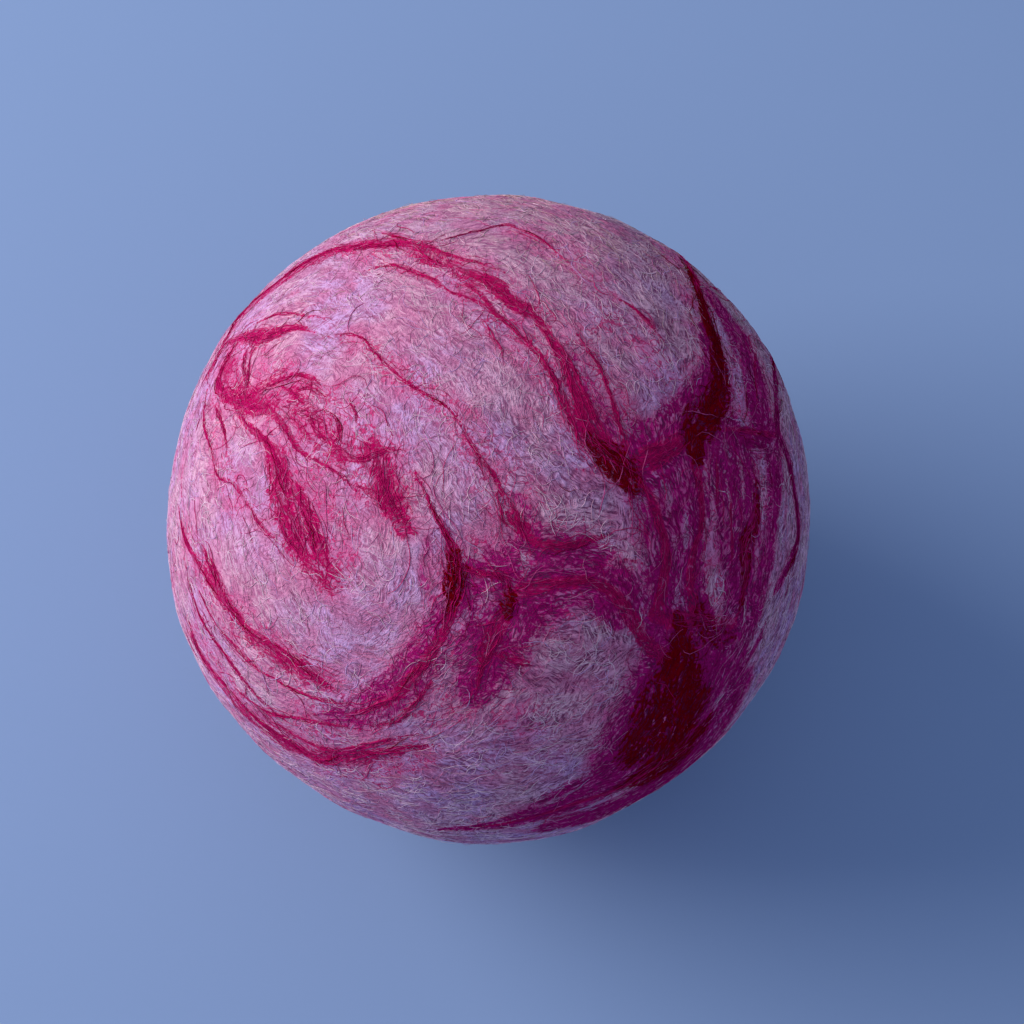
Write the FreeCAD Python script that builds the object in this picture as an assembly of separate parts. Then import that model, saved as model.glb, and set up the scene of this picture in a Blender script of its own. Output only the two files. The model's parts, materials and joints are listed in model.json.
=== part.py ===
import FreeCAD, Part
import math
import os

# A felted wool dryer ball, in millimetres. It stands on a small flat that its own
# weight presses into the wool. The origin is at the centre of that flat, +Z is up.
# From the inside out it is a wound yarn ball, three wraps of wool batt, each laid
# across the one below, a pale outer roving, and wisps of dyed roving felted into it.

# --- sizes that are set by themselves ---
ball_diameter = 70.0
rest_radius = 6.0               # the pressed flat that the ball stands on
outer_roving_thickness = 3.5
third_wrap_thickness = 5.0
second_wrap_thickness = 6.0
first_wrap_thickness = 6.5
wisp_depth = 0.6                # how deep a dyed wisp is felted into the outer roving
wisp_width_factor = 1.0         # fuller or leaner dyed wisps
show_elevation = 68.0           # the show side faces this far above the horizon
reading_distance = 262.0        # the wisps are placed as seen from this far away
samples_per_span = 4            # corners of a wisp's edge between two points of its spine
inner_reach = 0.8               # a wisp's cutting wedge starts inside the ball, in radii
outer_reach = 1.2               # and ends outside it

# --- sizes that follow ---
ball_radius = ball_diameter / 2
centre_height = math.sqrt(ball_radius**2 - rest_radius**2)
outer_roving_inside = ball_radius - outer_roving_thickness
third_wrap_inside = outer_roving_inside - third_wrap_thickness
second_wrap_inside = third_wrap_inside - second_wrap_thickness
yarn_ball_radius = second_wrap_inside - first_wrap_thickness

centre = FreeCAD.Vector(0, 0, centre_height)

# --- the dyed wisps ---
# A wisp is one or more strands. A strand's points are (across, up, width): across and up
# are shares of the ball's rim radius as its side is looked at, width is in millimetres.
show_wisps = {
    "wisp_crown_sweep": [
        [(-.87, .46, 1.2), (-.75, .65, 1.6), (-.62, .76, 1.6), (-.45, .86, 1.8), (-.27, .87, 1.8),
         (-.12, .80, 2.0), (.03, .72, 2.6), (.14, .60, 3.2), (.21, .45, 3.6), (.30, .30, 4.4),
         (.38, .17, 3.6), (.43, .07, 1.2)],
    ],
    "wisp_right_band": [
        [(.52, .83, .8), (.60, .77, 1.2), (.66, .67, 1.8), (.70, .56, 2.2), (.71, .43, 2.6),
         (.66, .29, 3.6), (.58, .21, 3.0), (.49, .16, 1.6)],
    ],
    "wisp_right_veil": [
        [(.47, .12, 2.0), (.52, .0, 2.8), (.54, -.15, 2.6), (.53, -.28, 2.4), (.53, -.38, 1.2)],
        [(.63, .20, 1.6), (.66, .05, 3.0), (.68, -.12, 2.6), (.66, -.27, 2.4), (.61, -.38, 1.2)],
        [(.80, .33, 1.0), (.84, .15, 2.4), (.85, -.02, 2.2), (.82, -.18, 2.4), (.76, -.32, 1.0)],
    ],
    "wisp_right_rim": [
        [(.80, .53, .6), (.87, .38, 1.2), (.93, .18, 1.2), (.96, .0, 1.4), (.93, -.17, 1.2),
         (.87, -.30, .6)],
    ],
    "wisp_dark_pool": [
        [(.60, -.33, 1.6), (.59, -.43, 4.2), (.56, -.54, 6.4), (.50, -.64, 7.2), (.42, -.71, 3.0)],
    ],
    "wisp_lower_rim": [
        [(-.18, -.93, .8), (-.04, -.94, 1.4), (.10, -.92, 1.8), (.27, -.87, 2.2), (.42, -.81, 2.6),
         (.60, -.71, 2.6), (.75, -.56, 1.8), (.84, -.42, .8)],
    ],
    "wisp_left_knot": [
        [(-.85, .50, 1.2), (-.78, .56, 2.2), (-.69, .59, 3.0), (-.61, .605, 1.8), (-.52, .61, .6)],
        [(-.87, .43, 1.8), (-.83, .40, 2.6), (-.77, .37, 2.4), (-.69, .35, 2.2), (-.62, .37, 1.6),
         (-.56, .41, .8)],
    ],
    "wisp_left_fork": [
        [(-.76, .33, 1.2), (-.70, .26, 1.4), (-.66, .19, 2.0), (-.63, .09, 3.0), (-.61, .0, 3.0),
         (-.58, -.09, 2.8), (-.53, -.16, 1.2)],
        [(-.67, .33, 1.4), (-.62, .27, 1.6), (-.57, .22, 1.4), (-.52, .17, .8)],
    ],
    "wisp_left_loops": [
        [(-.57, .38, .8), (-.52, .30, 1.0), (-.47, .22, 1.0), (-.41, .17, .8)],
        [(-.50, .37, .6), (-.44, .33, .8), (-.42, .25, .8), (-.45, .19, .6)],
    ],
    "wisp_heart_patch": [
        [(-.34, .23, 1.6), (-.335, .14, 2.4), (-.32, .06, 2.8), (-.28, .0, 1.6), (-.23, -.04, .6)],
    ],
    "wisp_inner_curl": [
        [(-.235, .16, .5), (-.18, .03, .8), (-.14, -.04, 1.2), (-.12, -.12, 2.2), (-.11, -.22, 2.0),
         (-.13, -.31, 1.6), (-.18, -.42, 1.8), (-.27, -.52, 2.0), (-.37, -.57, 1.6), (-.46, -.60, .8)],
    ],
    "wisp_left_arc": [
        [(-.95, .07, .8), (-.92, -.08, 1.4), (-.84, -.22, 1.6), (-.76, -.32, 1.6), (-.64, -.40, 2.0),
         (-.50, -.50, .8)],
    ],
    "wisp_lower_left_rim": [
        [(-.90, -.37, .8), (-.78, -.55, 1.4), (-.67, -.66, 1.8), (-.55, -.73, 2.2), (-.39, -.72, 1.8),
         (-.18, -.69, .8)],
    ],
    "wisp_long_thread": [
        [(-.50, .57, .5), (-.38, .56, .6), (-.29, .46, .7), (-.20, .39, .7), (-.11, .34, .7),
         (-.05, .24, .7), (.0, .15, .8), (.03, .05, 1.0)],
    ],
    "wisp_centre_net": [
        [(-.09, -.17, .8), (-.02, -.17, 1.6), (.07, -.20, 2.2), (.18, -.21, 2.2), (.28, -.20, 2.0),
         (.37, -.25, 1.8), (.44, -.34, 2.2)],
        [(.04, .01, 1.4), (.08, -.06, 1.6), (.16, -.11, 1.6), (.25, -.08, 1.0), (.36, -.06, .5)],
        [(.06, -.24, 1.8), (.02, -.37, 2.2), (-.02, -.46, 2.0), (-.05, -.55, .8)],
    ],
    "wisp_left_strand": [
        [(-.90, .36, .5), (-.89, .28, .6), (-.84, .16, .6), (-.77, .10, .7), (-.74, .03, .7),
         (-.69, -.01, .5)],
    ],
    "wisp_crown_threads": [
        [(.04, .90, .5), (.16, .85, .6), (.26, .76, .6), (.31, .67, .5)],
        [(.36, .69, .5), (.43, .62, .6), (.48, .53, .5)],
    ],
}

back_wisps = {
    "wisp_back_sweep": [
        [(-.90, .10, 1.0), (-.80, .38, 1.8), (-.58, .62, 2.6), (-.30, .76, 3.0), (.0, .80, 3.0),
         (.28, .72, 3.2), (.50, .54, 2.6), (.60, .30, 1.2)],
    ],
    "wisp_back_band": [
        [(.86, .30, 1.0), (.80, .06, 2.2), (.68, -.16, 3.2), (.50, -.32, 3.6), (.28, -.40, 2.6),
         (.08, -.40, 1.0)],
    ],
    "wisp_back_veil": [
        [(.38, -.46, 1.4), (.45, -.62, 2.8), (.46, -.78, 1.4)],
        [(.60, -.32, 1.6), (.66, -.50, 2.8), (.62, -.68, 1.2)],
    ],
    "wisp_back_curl": [
        [(-.14, .12, .8), (-.30, .19, 1.4), (-.45, .12, 2.0), (-.52, -.04, 2.4), (-.46, -.20, 2.2),
         (-.32, -.28, 1.6), (-.16, -.24, .8)],
    ],
    "wisp_back_fork": [
        [(-.92, -.12, 1.0), (-.80, -.30, 1.8), (-.64, -.46, 2.6), (-.44, -.58, 2.4), (-.22, -.66, .8)],
        [(-.66, -.48, 1.4), (-.66, -.62, 1.6), (-.58, -.74, .8)],
    ],
    "wisp_back_thread": [
        [(-.72, .14, .5), (-.56, .30, .7), (-.42, .44, .7), (-.32, .60, .5)],
    ],
    "wisp_back_patch": [
        [(.10, -.04, 1.4), (.20, .04, 3.0), (.34, .08, 3.8), (.46, .04, 2.6), (.56, -.04, 1.0)],
    ],
    "wisp_back_rim": [
        [(-.30, -.90, 1.0), (-.06, -.94, 2.0), (.18, -.91, 2.4), (.40, -.84, 1.6), (.54, -.76, .8)],
    ],
}


def side_directions(tilt):
    """Right, up and outward directions of a side seen from this far round the ball."""
    angle = math.radians(show_elevation - tilt)
    outward = FreeCAD.Vector(0, -math.cos(angle), math.sin(angle))
    up = FreeCAD.Vector(0, math.sin(angle), math.cos(angle))
    return up.cross(outward), up, outward


def surface_direction(across, up_share, side):
    """Direction from the ball's centre to the point seen at these shares of its rim."""
    right, up, outward = side
    share = math.hypot(across, up_share)
    if share == 0:
        return outward
    rim_angle = math.asin(ball_radius / reading_distance)
    sight_angle = math.atan(share * math.tan(rim_angle))
    turn = math.asin(math.sin(sight_angle) * reading_distance / ball_radius) - sight_angle
    sideways = right * (across / share) + up * (up_share / share)
    return sideways * math.sin(turn) + outward * math.cos(turn)


def smooth_value(before, start, end, after, t):
    """A smooth curve's value between start and end, with its neighbours' slopes."""
    return 0.5 * (2 * start + (end - before) * t
                  + (2 * before - 5 * start + 4 * end - after) * t**2
                  + (3 * start - before - 3 * end + after) * t**3)


def smooth_spine(points):
    """A strand's points with smooth steps between them."""
    last = len(points) - 1
    spine = []
    for i in range(last):
        around = [points[max(i - 1, 0)], points[i], points[i + 1], points[min(i + 2, last)]]
        for step in range(samples_per_span):
            t = step / samples_per_span
            spine.append([smooth_value(*values, t) for values in zip(*around)])
    spine.append(list(points[last]))
    return spine


def strand_wedge(points, side):
    """A wedge from inside the ball to outside it, whose outline on the ball is the strand."""
    spine = smooth_spine(points)
    directions = [surface_direction(across, up, side) for across, up, width in spine]
    last = len(spine) - 1
    left_edge = []
    right_edge = []
    middle = FreeCAD.Vector(0, 0, 0)
    for i, direction in enumerate(directions):
        along = directions[min(i + 1, last)] - directions[max(i - 1, 0)]
        half_width = spine[i][2] * wisp_width_factor / 2 / ball_radius
        sideways = direction.cross(along).normalize() * half_width
        left_edge.append(direction + sideways)
        right_edge.append(direction - sideways)
        middle = middle + direction
    middle.normalize()
    outline = left_edge + right_edge[::-1]
    flat_outline = [point * (1 / point.dot(middle)) for point in outline]
    inner_ring = [centre + point * (inner_reach * ball_radius) for point in flat_outline]
    outer_ring = [centre + point * (outer_reach * ball_radius) for point in flat_outline]
    faces = [flat_face(inner_ring), flat_face(outer_ring)]
    for i in range(len(outline)):
        faces.append(flat_face([inner_ring[i - 1], inner_ring[i], outer_ring[i], outer_ring[i - 1]]))
    return outward_solid(faces)


def flat_face(corners):
    return Part.Face(Part.makePolygon(corners + corners[:1]))


def outward_solid(faces):
    seamed = Part.makeShell(faces)
    seamed.sewShape()
    solid = Part.Solid(seamed)
    return solid if solid.Volume > 0 else solid.reversed()


def ball(radius):
    return Part.makeSphere(radius, centre)


def shell(outer, inner_radius):
    return outer.cut(ball(inner_radius))


def finished_ball():
    """The ball's whole outside: a sphere with the flat that it stands on."""
    reach = 2 * ball_diameter
    floor_block = Part.makeBox(reach, reach, reach, FreeCAD.Vector(-reach / 2, -reach / 2, -reach))
    return ball(ball_radius).cut(floor_block)


def lay_wisp(strands, side, laid):
    """The dyed wisp, and the wedge it takes out of what is laid after it."""
    wedge = strand_wedge(strands[0], side)
    for points in strands[1:]:
        wedge = wedge.fuse(strand_wedge(points, side))
    wisp = wisp_band.common(wedge)
    beneath = [other for other in laid if other.BoundBox.intersect(wisp.BoundBox)]
    if beneath:
        wisp = wisp.cut(beneath)
    return wisp, wedge


def write(name, shape):
    solids = shape.Solids
    whole = solids[0] if len(solids) == 1 else Part.makeCompound(solids)
    whole.exportStep("parts/" + name + ".step")
    volume = sum(solid.Volume for solid in solids)
    print("%-22s %d solid(s) %9.1f mm3 valid %s" % (name, len(solids), volume, whole.isValid()))
    return volume


os.makedirs("parts", exist_ok=True)

filled = 0.0
filled += write("yarn_ball", ball(yarn_ball_radius))
filled += write("first_wrap", shell(ball(second_wrap_inside), yarn_ball_radius))
filled += write("second_wrap", shell(ball(third_wrap_inside), second_wrap_inside))
filled += write("third_wrap", shell(ball(outer_roving_inside), third_wrap_inside))

whole_ball = finished_ball()
wisp_band = shell(whole_ball, ball_radius - wisp_depth)
laid_wedges = []
for side_wisps, tilt in ((show_wisps, 0.0), (back_wisps, 180.0)):
    side = side_directions(tilt)
    for name, strands in side_wisps.items():
        wisp, wedge = lay_wisp(strands, side, laid_wedges)
        laid_wedges.append(wedge)
        filled += write(name, wisp)
pockets = [shell(wedge, ball_radius - wisp_depth) for wedge in laid_wedges]
filled += write("outer_roving", shell(whole_ball, outer_roving_inside).cut(pockets))

print("layers and wisps fill %.4f of the ball" % (filled / whole_ball.Volume))
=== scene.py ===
import json
import math

import bmesh
import bpy
import numpy as np
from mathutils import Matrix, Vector

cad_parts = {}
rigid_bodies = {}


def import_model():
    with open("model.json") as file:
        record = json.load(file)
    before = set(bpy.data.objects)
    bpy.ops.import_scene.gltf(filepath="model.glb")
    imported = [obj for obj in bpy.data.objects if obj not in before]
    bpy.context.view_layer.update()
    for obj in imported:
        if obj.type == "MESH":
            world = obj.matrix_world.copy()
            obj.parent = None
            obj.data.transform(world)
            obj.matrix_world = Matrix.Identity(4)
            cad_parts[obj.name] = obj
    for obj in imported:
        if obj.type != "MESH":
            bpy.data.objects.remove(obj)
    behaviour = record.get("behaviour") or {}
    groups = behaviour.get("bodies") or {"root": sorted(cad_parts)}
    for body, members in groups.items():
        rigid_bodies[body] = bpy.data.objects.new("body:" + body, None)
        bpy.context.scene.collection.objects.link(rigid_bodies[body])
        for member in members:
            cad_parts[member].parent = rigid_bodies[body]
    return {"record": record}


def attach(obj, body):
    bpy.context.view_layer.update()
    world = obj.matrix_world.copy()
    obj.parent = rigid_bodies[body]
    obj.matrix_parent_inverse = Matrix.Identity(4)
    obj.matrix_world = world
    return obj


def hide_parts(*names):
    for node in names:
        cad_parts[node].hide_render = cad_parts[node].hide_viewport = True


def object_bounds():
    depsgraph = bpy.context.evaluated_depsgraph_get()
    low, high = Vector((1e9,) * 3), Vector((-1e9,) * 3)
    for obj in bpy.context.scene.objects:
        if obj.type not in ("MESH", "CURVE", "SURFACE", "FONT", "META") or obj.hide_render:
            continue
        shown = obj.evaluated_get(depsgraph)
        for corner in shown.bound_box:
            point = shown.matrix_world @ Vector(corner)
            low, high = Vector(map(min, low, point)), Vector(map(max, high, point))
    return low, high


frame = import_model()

# A felted wool dryer ball, in metres: a yarn core, three wraps of batt, a pale outer roving
# and dyed wisps matted into it. Every surface fibre is a thin closed tube.

cadLow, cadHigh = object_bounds()
ballRadius = (cadHigh.x - cadLow.x) / 2
ballCentre = np.array([(cadHigh.x + cadLow.x) / 2, (cadHigh.y + cadLow.y) / 2, cadHigh.z - ballRadius])
mm = 0.001
scene = bpy.context.scene
rng = np.random.default_rng(7)

# the camera looks down at the ball; elevation in degrees, lens in mm
cameraLook = {"elevation": 68.0, "distance": 0.2635, "lens": 85.0, "aimRight": 2.35 * mm, "aimUp": 0.8 * mm}


def sideAxes(turn):
    # right, up and outward of the side that faces this many degrees round from the camera
    angle = math.radians(cameraLook["elevation"] - turn)
    outward = np.array([0, -math.cos(angle), math.sin(angle)])
    up = np.array([0, math.sin(angle), math.cos(angle)])
    return np.cross(up, outward), up, outward


def aimed(thing, place, target):
    # put a camera or a lamp in the scene, turned towards a target
    thing.location = place
    thing.rotation_mode = "QUATERNION"
    thing.rotation_quaternion = (Vector(target) - Vector(place)).to_track_quat("-Z", "Y")
    scene.collection.objects.link(thing)
    return thing


def makeCamera():
    right, up, outward = sideAxes(0)
    data = bpy.data.cameras.new("camera")
    data.lens = cameraLook["lens"]
    data.clip_start = 0.01
    aim = ballCentre + right * cameraLook["aimRight"] + up * cameraLook["aimUp"]
    place = ballCentre + outward * cameraLook["distance"]
    scene.camera = aimed(bpy.data.objects.new("camera", data), place, aim)
    print("camera placed")


makeCamera()


def surfaceDirection(across, up, turn):
    # the direction seen at these shares of the ball's rim, as an array of unit vectors
    right, upward, outward = sideAxes(turn)
    share = np.maximum(np.hypot(across, up), 1e-6)
    reach = cameraLook["distance"] / ballRadius
    sight = np.arctan(share * math.tan(math.asin(1 / reach)))
    angle = np.arcsin(np.minimum(np.sin(sight) * reach, 1)) - sight
    sideways = np.outer(across / share, right) + np.outer(up / share, upward)
    return sideways * np.sin(angle)[:, None] + np.outer(np.cos(angle), outward)


# Where the dye lies, in strands: (kind of dye, its strength, then points along the strand as across,
# up and width in mm), crimson where no kind is given. Bare strands are undyed wool. Across and up are
# shares of the ball's radius.
wispLook = {
    "sampleStep": 0.5 * mm, "smoothSteps": 6,
    "widths": {"crimson": 0.78, "purple": 1.12, "dark": 1.1, "bare": 0.8, "blush": 1.0},
    "strengths": {"crimson": 1.0, "purple": 1.3, "dark": 1.0, "bare": 0.9, "blush": 1.0},
}
showWisps = {
    "wisp_crown_sweep": [
        (.85, (-.87, .46, 1), (-.755, .65, 1.5), (-.63, .76, 1.6), (-.53, .82, 1.5), (-.455, .845, 1.6),
         (-.354, .854, 2.2), (-.279, .858, 2.4), (-.2, .85, 1.6)),
        (.7, (-.34, .9, .5), (-.299, .889, .7), (-.231, .865, .8), (-.16, .84, .8), (-.1, .817, .7),
         (-.045, .796, .6), (.016, .775, .7), (.07, .75, .5)),
        (.9, (-.22, .845, 1), (-.155, .805, 2.2), (-.11, .79, 1.2)),
        (.9, (-.08, .775, .7), (-.018, .748, 1.8), (.03, .72, 2.2), (.085, .66, 2), (.13, .638, 2.2),
         (.165, .6, 1.6)),
        (.75, (-.37, .775, .5), (-.313, .789, .7), (-.265, .786, .7), (-.21, .765, .8), (-.169, .748, .9),
         (-.138, .724, .6), (-.1, .7, .5), (-.045, .679, .6), (0, .652, .6), (.037, .624, .8),
         (.071, .597, 1), (.11, .56, 1.1), (.16, .5, 1), (.205, .43, 1.1), (.245, .33, 1.4),
         (.29, .25, 1.8), (.35, .18, 1.6)),
        (.65, (-.1, .762, .5), (-.059, .727, .7), (-.018, .693, .7), (.016, .652, .8), (.06, .61, .6)),
        (.85, (.15, .625, 1.2), (.19, .56, 1), (.228, .5, 1.5), (.255, .42, 1.8), (.285, .34, 2.2),
         (.305, .27, 3.2), (.35, .22, 3.4), (.41, .16, 2.6), (.44, .06, 1)),
        (.7, (.17, .6, .5), (.215, .54, .7), (.26, .47, .7), (.29, .4, .6), (.33, .31, .9), (.37, .23, .8)),
        (.65, (.27, .575, .4), (.32, .505, .6), (.35, .45, .6), (.375, .37, .8), (.4, .29, 1),
         (.42, .22, 1.2)),
        ("purple", .3, (.22, .52, 2), (.3, .38, 4.5), (.37, .27, 5)),
        ("purple", .45, (.34, .27, 3), (.39, .22, 4.6), (.43, .17, 4.4)),
        ("dark", .85, (.31, .25, 1), (.35, .205, 2), (.4, .16, 2.8), (.43, .11, 2), (.445, .07, .8)),
        (.6, (-.035, .63, .3), (0, .597, .35), (.02, .56, .35), (.044, .52, .35), (.05, .48, .3)),
        (.5, (-.86, .47, 2), (-.76, .64, 3), (-.6, .77, 3), (-.44, .845, 2.6), (-.28, .855, 2.6),
         (-.12, .79, 2.6), (.02, .72, 2.6)),
    ],
    "wisp_right_band": [
        (.9, (.5, .86, .6), (.56, .83, 1), (.61, .79, 1.4), (.64, .72, 1.8), (.665, .63, 2)),
        ("dark", 1, (.6, .79, .6), (.645, .7, 1.2), (.675, .6, 1.6), (.7, .52, 1.8), (.715, .43, 2.2),
         (.7, .36, 2.8), (.665, .3, 3.6), (.63, .25, 2.6), (.64, .18, 1.6)),
        ("purple", .8, (.68, .55, 2.6), (.7, .42, 3.8), (.64, .28, 6.5), (.55, .2, 6), (.47, .15, 3)),
        (.8, (.62, .25, 1.6), (.56, .21, 2.6), (.49, .18, 3.2), (.43, .15, 2)),
        (.6, (.68, .7, .4), (.74, .69, .6), (.8, .66, .5)),
    ],
    "wisp_right_veil": [
        ("purple", .7, (.5, .2, 6), (.56, .08, 9), (.6, -.08, 9), (.6, -.25, 9), (.58, -.38, 8)),
        ("purple", .66, (.74, .24, 5), (.76, .1, 8), (.77, -.08, 8), (.73, -.24, 9), (.66, -.36, 7)),
        ("purple", .62, (.88, .26, 3), (.9, .1, 4.5), (.89, -.08, 4.5), (.85, -.2, 4.5)),
        (.8, (.43, .14, 1), (.47, .09, 1.2), (.5, .045, 1.2), (.52, -.03, 1.2), (.54, -.11, 1.4),
         (.525, -.22, 1.8), (.51, -.3, 2.4)),
        (.75, (.635, .16, 1.6), (.65, .06, 1), (.655, -.03, 1), (.625, -.12, 1.2), (.61, -.22, 1.6),
         (.625, -.32, 2.4)),
        ("dark", .56, (.83, .09, 1), (.83, -.02, 1.6), (.8, -.09, 2.8), (.8, -.16, 1.8), (.785, -.28, 1.4)),
        (.8, (.83, .1, .8), (.83, -.03, 1.4), (.795, -.09, 2.2), (.8, -.16, 1.4), (.785, -.28, 1.2),
         (.76, -.34, .8)),
        (.6, (.75, .1, .5), (.745, 0, .6), (.75, -.1, .7), (.74, -.2, .5)),
        (.6, (.7, .2, .5), (.705, .1, .7), (.7, 0, .5)),
        (.7, (.5, -.3, 2), (.58, -.33, 2.8), (.68, -.33, 2), (.76, -.35, 1.6)),
        ("bare", .9, (.685, .06, .6), (.69, 0, 1.2), (.69, -.05, .6)),
        ("bare", .9, (.665, .01, .5), (.68, -.1, 2.2), (.685, -.18, 3.4), (.7, -.27, 2.6), (.7, -.34, .8)),
        ("bare", .8, (.735, .1, .5), (.745, .03, 1), (.745, -.06, .6)),
        ("bare", .9, (.78, .17, .5), (.785, .1, .9), (.79, .03, .5)),
        ("bare", .9, (.85, .1, .4), (.86, .05, 1), (.855, .01, .4)),
        ("bare", .9, (.93, .12, .6), (.92, .02, 1.8), (.91, -.08, 2.6), (.9, -.17, 2), (.88, -.21, .8)),
        ("bare", .8, (.83, -.07, .5), (.835, -.13, 1.2), (.83, -.2, .7)),
        ("bare", .7, (.66, .17, .4), (.67, .11, .7), (.665, .06, .4)),
        ("bare", .7, (.53, .11, .6), (.55, .06, 1.6), (.545, .01, .8)),
        ("bare", .5, (.55, -.03, .8), (.57, -.08, 1.2), (.565, -.13, .8)),
        ("bare", .6, (.6, .02, .5), (.605, -.05, 1.3), (.6, -.11, .6)),
        ("bare", .5, (.57, -.2, .6), (.575, -.25, 1.2), (.57, -.3, .6)),
    ],
    "wisp_right_rim": [
        ("purple", .66, (.7, .66, 3), (.77, .55, 4.5), (.82, .42, 5), (.84, .28, 4)),
        ("purple", .9, (.84, .56, .6), (.885, .46, 1), (.895, .35, 1), (.9, .26, 1.4), (.94, .17, 1.2),
         (.965, .05, 1.4), (.97, -.08, 1.6), (.94, -.17, 1.6), (.9, -.24, 1.2)),
        (.6, (.825, .55, .4), (.825, .45, .6), (.83, .34, .5)),
        (.8, (.72, .26, .6), (.78, .26, .9), (.84, .25, .8), (.895, .245, .8)),
        ("purple", .8, (.76, .235, 2.4), (.84, .225, 2.4), (.9, .22, 1.2)),
        ("bare", .6, (.77, .55, .6), (.775, .45, 1.4), (.77, .34, 1.6), (.78, .28, .6)),
    ],
    "wisp_dark_pool": [
        ("purple", .95, (.56, -.36, 7), (.56, -.48, 9), (.54, -.6, 12), (.47, -.72, 11), (.36, -.82, 6)),
        ("purple", .75, (.68, -.36, 7), (.72, -.44, 8), (.7, -.54, 7), (.66, -.62, 5)),
        ("purple", .6, (.8, -.24, 5), (.82, -.32, 5), (.79, -.42, 3)),
        ("dark", .95, (.57, -.3, .6), (.58, -.38, 2.2), (.575, -.47, 4.6), (.56, -.55, 7.4),
         (.51, -.64, 6.4), (.46, -.72, 5.4)),
        ("dark", .95, (.6, -.54, 3.6), (.62, -.62, 5.2), (.58, -.7, 5), (.5, -.79, 4.2), (.4, -.84, 2.2)),
        ("dark", .54, (.64, -.27, 1.6), (.645, -.33, 2.2), (.7, -.38, 2.2), (.76, -.39, 1.2)),
        ("dark", .8, (.53, -.7, 5), (.555, -.76, 4.6), (.5, -.81, 3)),
        ("dark", .75, (.48, -.82, 4), (.575, -.785, 6.5), (.66, -.7, 4)),
        ("purple", .7, (.84, -.4, 4), (.8, -.49, 4), (.78, -.57, 3)),
        (.7, (.4, -.3, .8), (.45, -.36, 1.6), (.5, -.42, 2.2), (.55, -.46, 2.4)),
        ("bare", .6, (.53, -.6, .4), (.525, -.66, .8), (.5, -.72, .5)),
        ("bare", .8, (.88, -.28, 1), (.86, -.35, 2.6), (.83, -.42, 2)),
    ],
    "wisp_lower_rim": [
        ("purple", .9, (-.18, -.955, .8), (-.04, -.95, 1.6), (.1, -.92, 3.6), (.24, -.87, 6), (.4, -.81, 6),
         (.55, -.75, 4.6), (.68, -.67, 3.4), (.78, -.57, 1.8)),
        ("purple", .9, (.16, -.955, 3), (.34, -.92, 6), (.48, -.87, 9), (.62, -.775, 9.5), (.74, -.645, 7),
         (.81, -.54, 3)),
        (.8, (-.1, -.955, .5), (.08, -.93, .9), (.26, -.885, 1.2), (.42, -.835, 1.4), (.58, -.755, 1.2)),
        ("bare", .7, (.1, -.9, .5), (.18, -.875, 1.2), (.26, -.84, .6)),
    ],
    "wisp_left_knot": [
        (.85, (-.8, .566, 1), (-.75, .585, 1.8), (-.694, .581, 2.6), (-.64, .595, 2), (-.588, .607, 1),
         (-.53, .59, .5)),
        (.75, (-.77, .57, 1.2), (-.815, .5, 1.6), (-.835, .44, 1.8), (-.81, .4, 2), (-.777, .385, 2.2)),
        (.7, (-.747, .551, .7), (-.752, .48, .6), (-.747, .41, .8)),
        (.7, (-.709, .558, .6), (-.732, .505, .6), (-.739, .415, .6)),
        (.85, (-.81, .41, 1.6), (-.765, .382, 2.2), (-.72, .37, 1.6), (-.664, .354, 1.2)),
        (.7, (-.745, .4, 1), (-.686, .422, 1), (-.634, .445, 1.2), (-.588, .46, 1), (-.543, .445, .8),
         (-.498, .415, .6)),
        (.6, (-.65, .43, .5), (-.6, .4, .6), (-.565, .362, .6)),
        (.6, (-.72, .425, .4), (-.67, .45, .5), (-.61, .48, .4)),
        (.5, (-.8, .5, 3), (-.77, .39, 4), (-.68, .37, 3), (-.6, .44, 2.4)),
        (.6, (-.86, .4, .5), (-.82, .3, .6), (-.81, .2, .5)),
        (.6, (-.72, .62, .5), (-.62, .65, .6), (-.5, .63, .5)),
    ],
    "wisp_left_fork": [
        (.85, (-.785, .377, 1), (-.754, .317, .9), (-.709, .279, 1), (-.675, .235, 1.4), (-.655, .19, 2.4),
         (-.641, .13, 3.2), (-.63, .06, 3.4), (-.615, 0, 3), (-.6, -.05, 2), (-.57, -.1, 1)),
        (.8, (-.664, .347, 1), (-.626, .294, 1.2), (-.596, .241, 1), (-.558, .205, .7)),
        (.75, (-.61, .12, 1), (-.57, .05, 2.2), (-.545, -.01, 2.2), (-.53, -.08, 1.8), (-.49, -.16, 1)),
        (.56, (-.66, .2, 4), (-.62, .06, 6.5), (-.57, -.06, 6.5), (-.5, -.17, 4.5)),
        (.6, (-.66, .04, .8), (-.62, -.06, 1.6), (-.56, -.13, 1)),
    ],
    "wisp_left_loops": [
        (.7, (-.566, .362, .6), (-.535, .286, .9), (-.49, .249, 1), (-.455, .22, .8)),
        (.7, (-.53, .345, .5), (-.483, .335, .6), (-.456, .294, .7), (-.46, .256, .7), (-.485, .225, .6)),
        (.65, (-.588, .226, .6), (-.528, .196, .7), (-.46, .151, .8), (-.422, .113, .7), (-.392, .083, .5)),
        (.7, (-.48, .23, 1), (-.43, .2, 1.2), (-.38, .196, 1.2), (-.33, .215, 1.2), (-.29, .22, .8)),
        (.6, (-.435, .39, .5), (-.41, .35, .6), (-.4, .3, .4)),
        (.6, (-.6, .41, .5), (-.54, .42, .7), (-.49, .38, .5)),
        (.6, (-.6, .34, .5), (-.55, .34, .6), (-.5, .3, .5)),
        (.46, (-.6, .37, 4), (-.52, .28, 4.5), (-.44, .21, 3.5)),
    ],
    "wisp_heart_patch": [
        (.9, (-.36, .23, 1), (-.33, .19, 2.2), (-.32, .12, 3), (-.3, .05, 2.8), (-.27, 0, 1.6),
         (-.23, -.04, .5)),
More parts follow.
